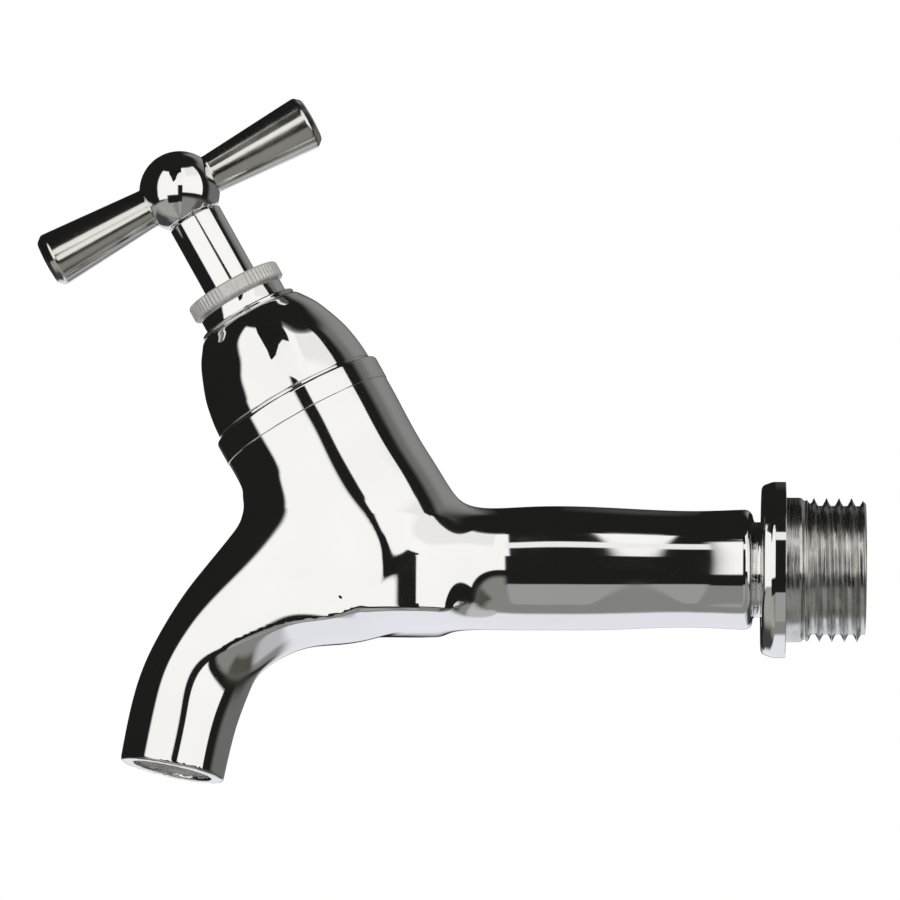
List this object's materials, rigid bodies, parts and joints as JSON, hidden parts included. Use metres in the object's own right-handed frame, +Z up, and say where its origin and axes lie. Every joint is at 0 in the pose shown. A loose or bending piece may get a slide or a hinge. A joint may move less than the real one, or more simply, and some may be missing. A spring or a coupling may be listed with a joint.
{
  "type": "bib tap",
  "caption": "Chromed wall-mounted bib tap with a threaded inlet, a slanted valve under a domed cover, a curved spout and a bar handle.",
  "frame": {"origin": "on the inlet's axis, at the collar's face that stands against the wall", "axes": "+X along the inlet into the wall, +Z up; the spout points to -X and down, and XZ is the plane of symmetry"},
  "size_m": [0.1202, 0.0262, 0.1],
  "materials": {
    "polished_chrome": "polished chrome plate on brass",
    "satin_chrome": "finely turned and serrated chrome plate",
    "brass": "turned, unplated",
    "fibre": "pressed fibre washer",
    "black_rubber": "smooth moulded rubber",
    "steel": "plain steel screw"
  },
  "bodies": {
    "tap": {"tap_body": "polished_chrome", "bonnet": "brass", "bonnet_seal": "fibre", "bonnet_cover": "polished_chrome", "cover_nut": "satin_chrome"},
    "washer_carrier": {"jumper": "brass", "tap_washer": "black_rubber", "washer_nut": "brass"},
    "handle": {"spindle": "polished_chrome", "spindle_oring_lower": "black_rubber", "spindle_oring_upper": "black_rubber", "handle_hub": "polished_chrome", "handle_arm_left": "polished_chrome", "handle_arm_right": "polished_chrome", "hub_grub_screw": "steel"}
  },
  "joints": [
    {"name": "valve_lift", "type": "slide", "parent": "tap", "child": "washer_carrier", "axis": [-0.4894, 0, 0.8721], "range_m": [0, 0.0045]},
    {"name": "handle_turn", "type": "hinge", "parent": "washer_carrier", "child": "handle", "pos_m": [-0.05745, 0, 0], "axis": [-0.4894, 0, 0.8721], "range_deg": [0, 541]}
  ],
  "couplings": [
    {"joint": "handle_turn", "follows": "valve_lift", "rad_per_m": 2094.4}
  ]
}
